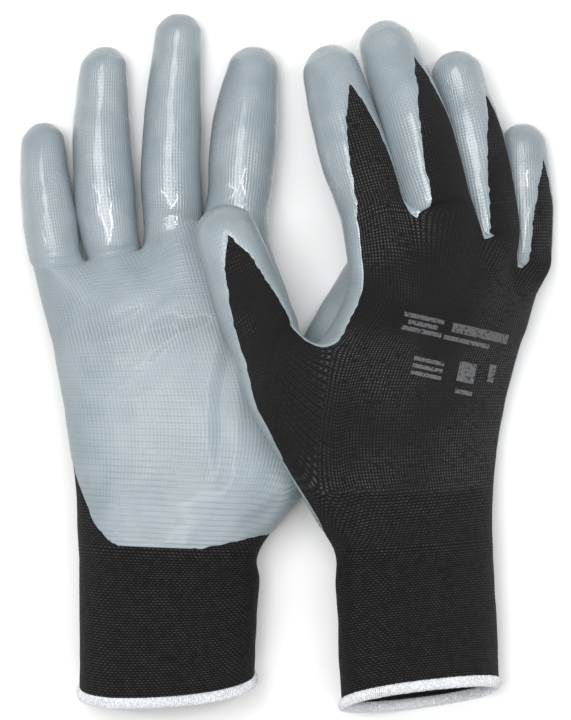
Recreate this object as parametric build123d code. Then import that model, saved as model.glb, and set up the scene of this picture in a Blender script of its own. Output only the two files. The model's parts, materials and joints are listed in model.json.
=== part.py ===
"""A pair of knitted work gloves with a dipped coating, lying on a table, one partly over the other.

Millimetres. +X is to the right, +Y runs towards the fingertips and +Z is up from the table.
The lower glove lies palm up and the upper glove lies palm down on it, rolled onto its little finger side.
Each glove has its own flat frame: the origin is under the middle of the wrist, y runs along the palm,
and x is measured towards the thumb, so both gloves share one set of sizes.
"""

import os
from dataclasses import dataclass
from math import cos, hypot, radians, sin, sqrt, tan

from build123d import *

# Fabric and coating
KNIT = 0.9  # thickness of the knitted liner
COAT = 0.5  # thickness of the dipped coating over the liner

# Clearances
JOINT_GAP = 0.3  # between two pieces that move
WEB_GAP = 0.6  # between neighbouring fingers at their base

# Palm, measured over the coating
WRIST_WIDTH = 65.0
WRIST_DEPTH = 38.0
HEEL_WIDTH = 75.0
HEEL_DEPTH = 35.0
PALM_WIDTH = 77.0
PALM_DEPTH = 33.0
KNUCKLE_DEPTH = 31.0
HEEL_REACH = 22.0  # wrist to the widest part of the heel
PALM_REACH = 60.0  # wrist to the middle of the palm
KNUCKLE_REACH = 90.0  # wrist to the knuckles
WEB_REACH = 101.0  # wrist to the webs between the fingers
HEEL_SHIFT = 5.0  # the heel stands out towards the thumb
PALM_SHIFT = 2.5
WEB_SHRINK = 0.62  # the web's depth as a share of the knuckles' depth

# Cuff and its edging
CUFF_LENGTH = 52.0
CUFF_WALL = 1.1
HEM_WIDTH = 61.0
HEM_DEPTH = 36.0
EDGING_HEIGHT = 3.4
EDGING_STEP = 0.9  # the edging stands this far out from the cuff, and in from it
EDGING_ROUND = 0.7

# The dip
DIP_START = 3.0  # wrist to the coating's lower edge, on the palm
DIP_WRAP = 0.15  # the coating wraps past mid-depth by this share of a finger's radius
TIP_COATED = 0.34  # share of a finger's length that is coated all round

# Thumb root: a cone that runs up from the heel
ROOT_ACROSS = 33.0
ROOT_ALONG = 21.0
ROOT_RADIUS = 14.5


@dataclass(frozen=True)
class Digit:
    """One finger stall. Its length runs from its base plane to its tip, and its reach from wrist to base plane."""

    name: str
    length: float
    base_radius: float
    tip_radius: float
    reach: float


INDEX = Digit("index", 67.5, 11.4, 8.6, 113.5)
MIDDLE = Digit("middle", 80.5, 11.1, 8.4, 113.5)
RING = Digit("ring", 74.0, 10.3, 8.1, 109.0)
LITTLE = Digit("little", 52.0, 9.4, 7.6, 105.0)
THUMB = Digit("thumb", 60.0, 13.0, 11.4, 59.0)
FINGERS = (INDEX, MIDDLE, RING, LITTLE)
DIGITS = (THUMB,) + FINGERS
STUB = 18.0  # how far a finger's root runs back inside the palm


@dataclass(frozen=True)
class Lay:
    """How one glove lies. Angles are in degrees. A lean is towards the thumb, a pitch is upwards,
    a roll raises the thumb's side, and a fall is the slope from one knuckle down to the next.
    A finger named in ahead bends that much further along, because the other glove lies on its base."""

    name: str
    wrist: tuple
    yaw: float
    thumb_side: int
    palm_up: bool
    heights: dict
    rolls: dict
    index_across: float
    index_height: float
    falls: tuple
    leans: dict
    pitches: dict
    ahead: dict
    thumb_across: float
    thumb_height: float
    root_height: float


LOWER = Lay(
    name="lower",
    wrist=(-44.2, -67.0),
    yaw=3.2,
    thumb_side=1,
    palm_up=True,
    heights={"hem": 18.9, "wrist": 19.2, "heel": 17.9, "palm": 17.0, "knuckle": 16.0},
    rolls={"hem": 0.0, "wrist": 0.0, "heel": 0.0, "palm": 0.0, "knuckle": 0.0},
    index_across=31.0,
    index_height=16.5,
    falls=(6.0, 0.0, -6.0),
    leans={"index": 9.8, "middle": 5.4, "ring": 1.2, "little": -3.0, "thumb": 32.0},
    pitches={"index": -6.0, "middle": -3.5, "ring": -3.9, "little": -8.0, "thumb": -1.5},
    ahead={"index": 11.0, "middle": 6.0},
    thumb_across=60.5,
    thumb_height=14.5,
    root_height=15.5,
)
UPPER = Lay(
    name="upper",
    wrist=(45.5, -66.0),
    yaw=-6.8,
    thumb_side=-1,
    palm_up=False,
    heights={"hem": 21.8, "wrist": 22.9, "heel": 26.0, "palm": 29.0, "knuckle": 30.0},
    rolls={"hem": 24.0, "wrist": 26.0, "heel": 29.0, "palm": 30.0, "knuckle": 30.0},
    index_across=28.0,
    index_height=43.5,
    falls=(5.0, 40.0, 50.0),
    leans={"index": 23.0, "middle": 24.0, "ring": 18.0, "little": 8.5, "thumb": 27.0},
    pitches={"index": -12.0, "middle": -11.5, "ring": -7.0, "little": -1.0, "thumb": -8.5},
    ahead={},
    thumb_across=58.4,
    thumb_height=51.0,
    root_height=40.0,
)
LAYS = (LOWER, UPPER)


def placed(lay):
    """The location of a glove's own frame on the table."""
    return Pos(lay.wrist[0], lay.wrist[1], 0) * Rot(0, 0, lay.yaw)


def direction(lay, digit):
    """The way a finger points, in the glove's frame."""
    lean, pitch = radians(lay.leans[digit.name]), radians(lay.pitches[digit.name])
    return Vector(lay.thumb_side * sin(lean) * cos(pitch), cos(lean) * cos(pitch), sin(pitch))


def step_across(lay, near, far, fall):
    """How far apart two neighbouring knuckles stand, so that the leaning fingers keep the web gap."""
    lean = radians((lay.leans[near.name] + lay.leans[far.name]) / 2)
    apart = near.base_radius + far.base_radius + WEB_GAP
    slip = (near.reach - far.reach) * sin(lean)
    level = cos(radians(fall)) * cos(lean)
    square = level**2 + sin(radians(fall)) ** 2
    return (slip * level + sqrt((slip * level) ** 2 + square * (apart**2 - slip**2))) / square


def base_centres(lay):
    """The middle of each finger's base plane, in the glove's frame."""
    across, height = lay.index_across, lay.index_height
    centres = {"thumb": Vector(lay.thumb_side * lay.thumb_across, THUMB.reach, lay.thumb_height)}
    centres["index"] = Vector(lay.thumb_side * across, INDEX.reach, height)
    for near, far, fall in zip(FINGERS, FINGERS[1:], lay.falls):
        step = step_across(lay, near, far, fall)
        across -= step * cos(radians(fall))
        height -= step * sin(radians(fall))
        centres[far.name] = Vector(lay.thumb_side * across, far.reach, height)
    return centres


def finger_frame(lay, digit):
    """A location at a finger's base, z along the finger and x straight up from it."""
    along = direction(lay, digit)
    level = Vector(0, 0, 1).cross(along).normalized()
    up = along.cross(level)
    return Location(Plane(origin=base_centres(lay)[digit.name], x_dir=up, z_dir=along))


def bend_start(lay, digit):
    """How far along a finger its moving stall starts."""
    return lay.ahead.get(digit.name, 0.0)


def radius_at(digit, along):
    """A finger's radius over its coating, this far from its base."""
    return digit.base_radius + (digit.tip_radius - digit.base_radius) * along / (digit.length - digit.tip_radius)


def ring_section(lay, place, along, across, width, depth, inset):
    """One elliptical section across the palm or cuff, inset evenly."""
    turn = radians(-lay.thumb_side * lay.rolls[place])
    plane = Plane(
        origin=(lay.thumb_side * across, along, lay.heights[place]),
        x_dir=(cos(turn), 0, -sin(turn)),
        z_dir=(0, 1, 0),
    )
    return plane * Ellipse(width / 2 - inset, depth / 2 - inset)


def knuckle_row(lay):
    """The middle of the knuckle row across the hand, and the row's width over the outer fingers."""
    centres = base_centres(lay)
    first, last = centres["index"], centres["little"]
    span = hypot(first.X - last.X, first.Z - last.Z)
    middle = lay.thumb_side * (first.X + last.X) / 2
    return middle, span + INDEX.base_radius + LITTLE.base_radius


def palm_body(lay, inset, open_ends):
    """The palm as one solid, inset evenly. With open ends it runs on past the wrist, to cut with."""
    row_middle, row_width = knuckle_row(lay)
    # The row's middle is carried back from the finger bases to the knuckles along the mean lean.
    lean = sum(lay.leans[d.name] for d in FINGERS) / len(FINGERS)
    mean_reach = sum(d.reach for d in FINGERS) / len(FINGERS)
    across = row_middle - (mean_reach - KNUCKLE_REACH) * tan(radians(lean)) / 2
    web_end = WEB_REACH - inset
    sections = [
        ring_section(lay, "wrist", 0, 0, WRIST_WIDTH, WRIST_DEPTH, inset),
        ring_section(lay, "heel", HEEL_REACH, HEEL_SHIFT, HEEL_WIDTH, HEEL_DEPTH, inset),
        ring_section(lay, "palm", PALM_REACH, PALM_SHIFT, PALM_WIDTH, PALM_DEPTH, inset),
        ring_section(lay, "knuckle", KNUCKLE_REACH, across, row_width, KNUCKLE_DEPTH, inset),
        ring_section(
            lay, "knuckle", web_end, across, row_width - 2 * LITTLE.base_radius, KNUCKLE_DEPTH * WEB_SHRINK, inset
        ),
    ]
    body = loft(sections)
    if open_ends:
        body += extrude(sections[0], amount=JOINT_GAP + CUFF_WALL, dir=(0, -1, 0))
    return body


def finger_root(lay, digit, inset, past_base):
    """The cone that carries a finger back into the palm, ending where its moving stall starts."""
    end = bend_start(lay, digit) + past_base
    cone = Solid.make_cone(radius_at(digit, -STUB) - inset, radius_at(digit, end) - inset, STUB + end)
    return finger_frame(lay, digit) * Pos(0, 0, -STUB) * cone


def thumb_root(lay, inset, past_base):
    """The taper that runs from the heel up to the thumb's base plane, round at its lower end."""
    start = Vector(lay.thumb_side * ROOT_ACROSS, ROOT_ALONG, lay.root_height)
    end = base_centres(lay)["thumb"]
    run = end - start
    low, high = ROOT_RADIUS - inset, THUMB.base_radius - inset
    mid = sin(radians(45))
    outline = [
        ThreePointArc((0, -low), (low * mid, -low * mid), (low, 0)),
        Line((low, 0), (high, run.length)),
        ThreePointArc((high, run.length), (high * mid, run.length + high * mid), (0, run.length + high)),
        Line((0, run.length + high), (0, -low)),
    ]
    root = revolve(Plane.XZ * make_face(outline), Axis.Z)
    root = Location(Plane(origin=start, z_dir=run.normalized())) * root
    # The round end lets the root and the thumb meet at a slight angle, cut off at the thumb's base plane.
    width = 4 * THUMB.base_radius
    ahead = finger_frame(lay, THUMB) * Pos(0, 0, past_base + width / 2) * Box(width, width, width)
    return root - ahead


def hand(lay, inset, open_ends=False):
    """Palm and finger roots as one solid, inset evenly."""
    past_base = JOINT_GAP if open_ends else 0.0
    body = palm_body(lay, inset, open_ends) + thumb_root(lay, inset, past_base)
    for digit in FINGERS:
        body += finger_root(lay, digit, inset, past_base)
    return body


def dip_side(lay, centre, size, drop, roll):
    """A block on the palm's side of a level through the centre, lowered by the drop."""
    side = 1 if lay.palm_up else -1
    turn = -lay.thumb_side * roll
    return Pos(centre) * Rot(0, turn, 0) * Pos(0, 0, side * (size / 2 - drop)) * Box(size, size, size)


def palm_parts(lay):
    """The palm's knitted liner, and the coating on its palm side."""
    liner_out = hand(lay, COAT)
    knit = liner_out - hand(lay, COAT + KNIT, open_ends=True)
    skin = hand(lay, 0) - liner_out
    block = 2.0 * (WEB_REACH + CUFF_LENGTH)
    middle = Vector(0, DIP_START + block / 2, lay.heights["palm"])
    coat = skin & dip_side(lay, middle, block, DIP_WRAP * THUMB.base_radius, lay.rolls["palm"])
    # Between the finger roots the cut can leave a crumb, which is no part of the coating.
    return knit, max(coat.solids(), key=lambda solid: solid.volume)


def stall_profile(digit, start, outer_inset, wall):
    """Half a section through a finger stall, in the X-Z plane: a taper and a round tip, with an even wall."""
    inner_inset = outer_inset + wall

    def line(inset):
        first = start + JOINT_GAP
        base, tip = radius_at(digit, first) - inset, digit.tip_radius - inset
        return (base, first), (tip, digit.length - digit.tip_radius), (0, digit.length - inset)

    out_base, out_tip, out_end = line(outer_inset)
    in_base, in_tip, in_end = line(inner_inset)
    mid = sin(radians(45))

    def round_tip(tip, end):
        middle = (tip[0] * mid, tip[1] + (end[1] - tip[1]) * mid)
        return ThreePointArc(tip, middle, end)

    edges = [
        Line(out_base, out_tip),
        round_tip(out_tip, out_end),
        Line(out_end, in_end),
        round_tip(in_tip, in_end),
        Line(in_tip, in_base),
        Line(in_base, out_base),
    ]
    return Plane.XZ * make_face(edges)


def finger_parts(lay, digit):
    """A finger's knitted stall, and its coating: the palm side for its whole length, and all of its tip."""
    place = finger_frame(lay, digit)
    start = bend_start(lay, digit)
    knit = revolve(stall_profile(digit, start, COAT, KNIT), Axis.Z)
    skin = revolve(stall_profile(digit, start, 0.0, COAT), Axis.Z)
    bare_length = digit.length * (1 - TIP_COATED)
    width = 4 * digit.base_radius
    back = -1 if lay.palm_up else 1
    edge = back * DIP_WRAP * digit.base_radius
    bare = Pos(edge + back * width / 2, 0, bare_length / 2) * Box(width, width, bare_length)
    coat = skin - Rot(0, 0, -lay.thumb_side * lay.rolls["knuckle"]) * bare
    return place * knit, place * coat


def cuff_parts(lay):
    """The ribbed cuff, open at both ends, and the overlocked edging round its lower end."""
    top, end = -JOINT_GAP, -(JOINT_GAP + CUFF_LENGTH)

    def tube(step_out):
        upper = ring_section(lay, "wrist", top, 0, WRIST_WIDTH, WRIST_DEPTH, COAT + step_out)
        lower = ring_section(lay, "hem", end, 0, HEM_WIDTH, HEM_DEPTH, step_out)
        return loft([upper, lower])

    cuff = tube(0.0) - tube(CUFF_WALL)
    outer = ring_section(lay, "hem", end, 0, HEM_WIDTH, HEM_DEPTH, -EDGING_STEP)
    inner = ring_section(lay, "hem", end, 0, HEM_WIDTH, HEM_DEPTH, CUFF_WALL + EDGING_STEP)
    edging = extrude(outer - inner, amount=EDGING_HEIGHT, dir=(0, -1, 0))
    edging = fillet(edging.edges(), EDGING_ROUND)
    return cuff, edging


def build(lay):
    """Every piece of one glove, by node name."""
    pieces = {}
    pieces["palm_knit"], pieces["palm_coating"] = palm_parts(lay)
    for digit in DIGITS:
        knit, coat = finger_parts(lay, digit)
        pieces[f"{digit.name}_stall"] = knit
        pieces[f"{digit.name}_coating"] = coat
    pieces["ribbed_cuff"], pieces["cuff_edging"] = cuff_parts(lay)
    return {f"{lay.name}_{name}": placed(lay) * shape for name, shape in pieces.items()}


def main():
    """Writes each piece to its own STEP file."""
    os.makedirs("parts", exist_ok=True)
    for lay in LAYS:
        for name, shape in build(lay).items():
            export_step(shape, f"parts/{name}.step")


if __name__ == "__main__":
    main()
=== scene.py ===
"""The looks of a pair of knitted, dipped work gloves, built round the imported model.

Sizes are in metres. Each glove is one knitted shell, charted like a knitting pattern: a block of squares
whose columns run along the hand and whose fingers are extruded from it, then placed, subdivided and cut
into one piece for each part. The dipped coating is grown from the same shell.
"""

import json
import logging
from collections.abc import Iterator
from contextlib import contextmanager
from dataclasses import dataclass, field
from enum import Enum
from math import atan2, cos, degrees, pi, radians, sin, sqrt

import bmesh
import bpy
import numpy as np
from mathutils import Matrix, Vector, noise


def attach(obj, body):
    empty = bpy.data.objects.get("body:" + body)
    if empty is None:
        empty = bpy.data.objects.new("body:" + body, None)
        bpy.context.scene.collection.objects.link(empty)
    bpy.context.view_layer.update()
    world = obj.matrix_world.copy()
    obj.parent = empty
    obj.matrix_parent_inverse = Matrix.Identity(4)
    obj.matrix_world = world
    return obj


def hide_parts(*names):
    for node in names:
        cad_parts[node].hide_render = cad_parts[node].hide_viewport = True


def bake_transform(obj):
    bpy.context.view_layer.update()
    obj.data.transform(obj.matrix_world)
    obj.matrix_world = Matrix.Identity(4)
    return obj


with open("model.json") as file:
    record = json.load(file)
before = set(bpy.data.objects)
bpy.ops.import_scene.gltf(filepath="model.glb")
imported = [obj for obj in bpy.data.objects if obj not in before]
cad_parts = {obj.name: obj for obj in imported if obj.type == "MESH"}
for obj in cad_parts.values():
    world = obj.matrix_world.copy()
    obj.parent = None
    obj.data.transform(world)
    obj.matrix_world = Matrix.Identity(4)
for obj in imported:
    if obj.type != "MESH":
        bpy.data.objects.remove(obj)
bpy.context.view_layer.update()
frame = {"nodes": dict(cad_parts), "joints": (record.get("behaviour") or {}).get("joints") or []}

LOG = logging.getLogger("gloves")
MM = 0.001
UP = Vector((0, 0, 1))

# The chart that a shell is built on: columns run from the little finger's side to the thumb's side.
COLUMNS = 8
PALM_ROWS = 6
CUFF_ROWS = 5
DIGIT_ROWS = 8
THUMB_ROW = 1  # the thumb grows out of the two rows that start here
LEVELS = 3  # how often the chart's squares are halved

# The fabric's thickness, how far the coating stands proud of it, and the coating's own wall.
WALL = 0.8 * MM
COAT = 0.45 * MM
COAT_WALL = 0.3 * MM

# The knit: its stitches, and how long a row of the chart is on the palm and on the cuff.
STITCHES_PER_COLUMN = 8
COURSE = 0.9 * MM
PALM_ROW = 19.5 * MM
CUFF_ROW = 10.4 * MM
YARN_ROUGHNESS = 0.8
YARN_SPECULAR = 0.25

# The palm's and cuff's rounded section: how square it is, and how near its sides the outermost columns lie.
SECTION_POWER = 2.3
SECTION_REACH = 0.93

# A fingertip's round rings: how far back from the tip and how wide, as shares of the tip's radius.
TIP_RINGS = ((1.0, 1.0), (0.5, 0.87), (0.12, 0.5))

# Soft noise, as (waves per millimetre, height in millimetres): the fabric's unevenness and the dip's edge.
UNEVENNESS = ((0.055, 0.55), (0.16, 0.16))
RAGGEDNESS = ((0.2, 0.6), (0.75, 0.6), (1.9, 0.35))


class Part(Enum):
    """The parts of a glove, in the order of their material indices on the chart."""

    PALM = 0
    CUFF = 1
    LITTLE = 2
    RING = 3
    MIDDLE = 4
    INDEX = 5
    THUMB = 6


FINGERS = (Part.LITTLE, Part.RING, Part.MIDDLE, Part.INDEX)


# ---------------------------------------------------------------- shader helpers


class Wire:
    """A shader socket that can be written in ordinary sums."""

    def __init__(self, tree: "Shader", socket: bpy.types.NodeSocket) -> None:
        """Wraps one output socket of a shader's tree."""
        self.tree = tree
        self.socket = socket

    def _math(self, operation: str, *values: "Wire | float") -> "Wire":
        """Adds one Math node over the given values."""
        return self.tree.add("ShaderNodeMath", {"operation": operation}, list(values))

    def __add__(self, other: "Wire | float") -> "Wire":
        """Sum."""
        return self._math("ADD", self, other)

    __radd__ = __add__

    def __sub__(self, other: "Wire | float") -> "Wire":
        """Difference."""
        return self._math("SUBTRACT", self, other)

    def __rsub__(self, other: float) -> "Wire":
        """Difference from a number."""
        return self._math("SUBTRACT", other, self)

    def __mul__(self, other: "Wire | float") -> "Wire":
        """Product."""
        return self._math("MULTIPLY", self, other)

    __rmul__ = __mul__

    def __abs__(self) -> "Wire":
        """Absolute value."""
        return self._math("ABSOLUTE", self)

    def __gt__(self, other: "Wire | float") -> "Wire":
        """One where this is greater, else nought."""
        return self._math("GREATER_THAN", self, other)

    def __lt__(self, other: "Wire | float") -> "Wire":
        """One where this is less, else nought."""
        return self._math("LESS_THAN", self, other)

    def fract(self) -> "Wire":
        """The part after the point."""
        return self._math("FRACT", self)

    def floor(self) -> "Wire":
        """The whole part."""
        return self._math("FLOOR", self)

    def sine(self) -> "Wire":
        """Sine."""
        return self._math("SINE", self)

    def least(self, other: "Wire | float") -> "Wire":
        """The lesser of two."""
        return self._math("MINIMUM", self, other)

    def most(self, other: "Wire | float") -> "Wire":
        """The greater of two."""
        return self._math("MAXIMUM", self, other)

    def ramp(self, low: float, high: float, start: float = 0.0, end: float = 1.0) -> "Wire":
        """Maps low..high smoothly onto start..end.

        Args:
            low: the value that gives start.
            high: the value that gives end.
            start: the result at and below low.
            end: the result at and above high.

        Returns:
            The mapped value.
        """
        settings = {"interpolation_type": "SMOOTHSTEP"}
        return self.tree.add("ShaderNodeMapRange", settings, [self, low, high, start, end], "Result")


class Shader:
    """A material's node tree, with one way to add a node."""

    def __init__(self, name: str) -> None:
        """Starts an empty material with a Principled shader."""
        self.material = bpy.data.materials.new(name)
        self.material.use_nodes = True
        self.nodes = self.material.node_tree.nodes
        self.links = self.material.node_tree.links
        self.surface = next(node for node in self.nodes if node.type == "BSDF_PRINCIPLED")

    def put(self, socket: bpy.types.NodeSocket, value: "Wire | float | tuple") -> None:
        """Links a wire to a socket, or sets the socket's own value."""
        if isinstance(value, Wire):
            self.links.new(value.socket, socket)
        else:
            socket.default_value = value

    def add(self, kind: str, settings: dict, values: "list | dict", output: str | int = 0) -> Wire:
        """Adds a node.

        Args:
            kind: the node's type.
            settings: properties, set before the sockets.
            values: the sockets' values or wires, in order or by name.
            output: the output socket that is wanted.

        Returns:
            The output as a wire.
        """
        node = self.nodes.new(kind)
        for key, value in settings.items():
            setattr(node, key, value)
        pairs = values.items() if isinstance(values, dict) else enumerate(values)
        for key, value in pairs:
            self.put(node.inputs[key], value)
        return Wire(self, node.outputs[output])

    def chart(self, layer: str) -> tuple[Wire, Wire]:
        """The two coordinates of a piece's own UV layer."""
        u, v, _ = self.axes(self.add("ShaderNodeUVMap", {"uv_map": layer}, [], "UV"))
        return u, v

    def place(self) -> Wire:
        """Object coordinates, in metres."""
        return self.add("ShaderNodeTexCoord", {}, [], "Object")

    def axes(self, point: Wire) -> tuple[Wire, Wire, Wire]:
        """The three coordinates of a point."""
        split = self.add("ShaderNodeSeparateXYZ", {}, [point]).socket.node
        return tuple(Wire(self, socket) for socket in split.outputs)

    def cloud(self, point: Wire, scale: float, detail: float = 2.0) -> Wire:
        """Soft noise from nought to one."""
        values = {"Vector": point, "Scale": scale, "Detail": detail}
        return self.add("ShaderNodeTexNoise", {}, values, "Fac")

    def blend(self, amount: "Wire | float", low: tuple, high: "tuple | Wire") -> Wire:
        """Mixes two colours."""
        factor, first, second, result = 0, 6, 7, 2  # the colour sockets' places on a Mix node
        values = {factor: amount, first: low, second: high}
        return self.add("ShaderNodeMix", {"data_type": "RGBA"}, values, result)

    def bump(self, height: Wire, distance: float) -> Wire:
        """The surface's normal where it is raised by a height times a distance."""
        values = {"Height": height, "Distance": distance, "Strength": 1.0}
        return self.add("ShaderNodeBump", {}, values, "Normal")

    def finish(self, values: dict) -> bpy.types.Material:
        """Sets the Principled shader's sockets by name, and returns the material."""
        for key, value in values.items():
            self.put(self.surface.inputs[key], value)
        return self.material


def grey(value: float) -> tuple[float, float, float, float]:
    """A neutral colour."""
    return (value, value, value, 1.0)


@dataclass(frozen=True)
class RibFinish:
    """Black elastic rib: dense crosswise cords, broken by staggered stitches, with a painted highlight on the
    cords' tops.
    """

    yarn: tuple = (0.0022, 0.0020, 0.0023, 1.0)
    # the ridge colour is the painted highlight on the tops of the cords
    ridge: tuple = (0.048, 0.045, 0.048, 1.0)
    relief: float = 0.55 * MM

    def parts(self, shader: Shader, wale: Wire, course: Wire) -> tuple[Wire, Wire]:
        """The rib's height and colour, with the painted highlight on its cords, for a knit chart."""
        cord = (course.fract() * pi).sine()
        stagger = (course.floor() * 0.5).fract()
        dash = ((wale * 0.6 + stagger).fract() * pi).sine()
        height = cord * (dash * 0.75 + 0.25)
        chance = shader.cloud(shader.place(), 420.0, 2.0)
        # painted highlight: the raised cords are lighter the higher they stand, more so at random spots
        cord_highlight = (height * height) * chance.ramp(0.25, 0.75, 0.35, 1.0)
        return height, shader.blend(cord_highlight, self.yarn, self.ridge)

    def make(self, name: str) -> bpy.types.Material:
        """Builds the material."""
        shader = Shader(name)
        height, colour = self.parts(shader, *shader.chart("knit"))
        values = {
            "Base Color": colour,
            "Roughness": YARN_ROUGHNESS,
            "Specular IOR Level": YARN_SPECULAR,
            "Normal": shader.bump(height, self.relief),
        }
        return shader.finish(values)


@dataclass(frozen=True)
class KnitFinish:
    """Fine black yarn in plain stitches, with a painted highlight on their raised legs and pale specks in its
    gaps, that turns to rib near the wrist.
    """

    yarn: tuple = (0.0030, 0.0027, 0.0031, 1.0)
    # the ridge colour is the painted highlight on the stitches' raised legs
    ridge: tuple = (0.017, 0.0155, 0.0165, 1.0)
    speck: tuple = (0.15, 0.148, 0.152, 1.0)
    plain_share: float = 0.12
    relief: float = 0.26 * MM
    rib_from: float = -46.0 * MM
    rib_over: float = 3.0 * MM
    rib_uneven: float = 4.0 * MM
    rib: RibFinish = RibFinish()

    def make(self, name: str, marks: "BackMarks | None" = None) -> bpy.types.Material:
        """Builds the material.

        Args:
            name: its name.
            marks: plain printed marks on the back of the hand, if any.

        Returns:
            The material.
        """
        shader = Shader(name)
        wale, course = shader.chart("knit")
        place = shader.place()
        across = abs(wale.fract() * 2 - 1)
        along = (course + across * 0.6).fract()
        leg = (across * pi).sine() * ((along * pi).sine() * 0.7 + 0.3)
        cell = shader.add("ShaderNodeCombineXYZ", {}, [wale.floor(), course.floor(), 0.0])
        chance = shader.add("ShaderNodeTexWhiteNoise", {"noise_dimensions": "3D"}, [cell], "Value")
        gap = (across > 0.6) * (along < 0.45) * (chance > self.plain_share)
        cloudy = shader.cloud(place, 24.0).ramp(0.36, 0.62, 0.1, 1.0)
        # painted highlight: the stitches' raised legs are lighter than the painted shade in the gaps between
        # them
        colour = shader.blend(leg * 0.8, self.yarn, self.ridge)
        colour = shader.blend(gap * cloudy * (chance * 0.45 + 0.3), colour, self.speck)
        if marks:
            colour = shader.blend(marks.mask(shader) * (leg * 0.4 + 0.45), colour, marks.ink)
        height, rib_colour = self.rib.parts(shader, wale, course)
        _, along_hand, _ = shader.axes(place)
        uneven = along_hand + shader.cloud(place, 30.0) * self.rib_uneven
        ribbed = uneven.ramp(self.rib_from, self.rib_from + self.rib_over, 1.0, 0.0)
        raised = leg * (1 - ribbed) + height * (ribbed * 1.5)
        values = {
            "Base Color": shader.blend(ribbed, colour, rib_colour),
            "Roughness": YARN_ROUGHNESS,
            "Specular IOR Level": YARN_SPECULAR,
            "Normal": shader.bump(raised, self.relief),
        }
        return shader.finish(values)


@dataclass(frozen=True)
class BackMarks:
    """Plain bars and blocks printed on the back of the hand. They spell and stand for nothing.

    Each bar is (across, along, half its width, half its length), in millimetres from the marks' centre.
    """

    ink: tuple = (0.22, 0.23, 0.24, 1.0)
    centre: tuple = (60.0 * MM, 3.0 * MM)
    turn: float = -12.0
    bars: tuple = (
        (-14.0, 9.6, 7.4, 0.8),
        (-14.0, 7.2, 5.4, 0.8),
        (-14.0, 4.8, 7.4, 0.8),
        (7.2, 8.6, 10.6, 1.7),
        (2.9, 4.6, 8.6, 0.8),
        (-9.0, -5.0, 5.6, 0.7),
        (-9.0, -7.6, 5.6, 0.7),
        (-9.0, -10.2, 5.6, 0.7),
        (5.4, -6.2, 3.2, 3.6),
        (14.6, -4.6, 1.2, 3.2),
        (5.8, -13.4, 3.2, 0.8),
    )

    def mask(self, shader: Shader) -> Wire:
        """One inside the bars, nought outside."""
        values = {"Vector": shader.place(), "Location": (-self.centre[0], -self.centre[1], 0.0)}
        moved = shader.add("ShaderNodeMapping", {"vector_type": "POINT"}, values)
        values = {"Vector": moved, "Rotation": (0.0, 0.0, -radians(self.turn))}
        x, y, _ = shader.axes(shader.add("ShaderNodeMapping", {"vector_type": "POINT"}, values))
        total = None
        for across, along, half_width, half_height in self.bars:
            wide = abs(x - across * MM) < half_width * MM
            high = abs(y - along * MM) < half_height * MM
            bar = wide * high
            total = bar if total is None else total.most(bar)
        speckle = shader.cloud(shader.place(), 900.0).ramp(0.3, 0.5)
        return total * speckle


@dataclass(frozen=True)
class DipFinish:
    """Grey rubber, dipped over the knit: smooth and shiny on the fingers, duller over the palm."""

    body: tuple = (0.245, 0.295, 0.322, 1.0)
    pale: tuple = (0.325, 0.380, 0.408, 1.0)
    shine: float = 0.20
    dull: float = 0.42
    relief: float = 0.24 * MM
    palm_to: float = 26.0 * MM
    fingers_from: float = 62.0 * MM

    def make(self, name: str) -> bpy.types.Material:
        """Builds the material."""
        shader = Shader(name)
        wale, course = shader.chart("knit")
        wales = (wale * (2 * pi)).sine() * 0.5 + 0.5
        ridges = (course * pi + (wale * 0.35).sine() * 0.6).sine() * 0.5 + 0.5
        courses = (course * (2 * pi)).sine() * 0.5 + 0.5
        place = shader.place()
        large = shader.cloud(place, 70.0, 3.0)
        fine = shader.cloud(place, 800.0, 2.0)
        patchy = large.ramp(0.35, 0.65)
        _, y, _ = shader.axes(place)
        finger = y.ramp(self.palm_to, self.fingers_from)
        palm = 1 - finger
        near_wrist = y.ramp(-20 * MM, -55 * MM, 0.3, 1.0)
        dots = wales * courses
        palm_weave = ridges * near_wrist * 0.8 + dots * 0.55
        finger_weave = wales * 0.24 + dots * (large.ramp(0.3, 0.6) * 0.34 + 0.12)
        weave = palm_weave * palm + finger_weave * finger
        hollow = 1 - weave.least(1.0)
        colour = shader.blend(patchy * 0.6 + fine * 0.4, self.body, self.pale)
        colour = shader.blend(hollow * palm * 0.35, colour, self.pale)
        rough = palm * (self.dull - self.shine) + (self.shine - 0.08)
        values = {
            "Base Color": colour,
            "Roughness": patchy * 0.12 + fine * 0.08 + rough,
            "Coat Weight": finger * (patchy * 0.6 + 0.35) + 0.08,
            "Coat Roughness": 0.11,
            "IOR": 1.5,
            "Normal": shader.bump(weave + fine * 0.25 + large * 0.6, self.relief),
        }
        return shader.finish(values)


@dataclass(frozen=True)
class ThreadFinish:
    """Whitish overlock thread, with painted shade between its turns where its fibre's bump is low, and a
    little soiling at random.
    """

    pale: tuple = (0.92, 0.93, 0.95, 1.0)
    # the darker colour serves both the random soiling and the painted shade between the turns
    soil_and_shade: tuple = (0.55, 0.57, 0.60, 1.0)
    relief: float = 0.1 * MM

    def make(self, name: str, twist: float) -> bpy.types.Material:
        """Builds the material, with the given number of twist marks per metre."""
        shader = Shader(name)
        place = shader.place()
        fibre = shader.cloud(place, twist, 3.0)
        soil = shader.cloud(place, 120.0, 2.0)
        # painted shade where the fibre noise, which is also the bump, is low; the soil noise darkens it at
        # random as well
        lit_and_clean = fibre.ramp(0.3, 0.7) * soil.ramp(0.2, 0.6, 0.55, 1.0)
        values = {
            "Base Color": shader.blend(lit_and_clean, self.soil_and_shade, self.pale),
            "Roughness": YARN_ROUGHNESS,
            "Normal": shader.bump(fibre, self.relief),
        }
        return shader.finish(values)


# ---------------------------------------------------------------- mesh helpers


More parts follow.
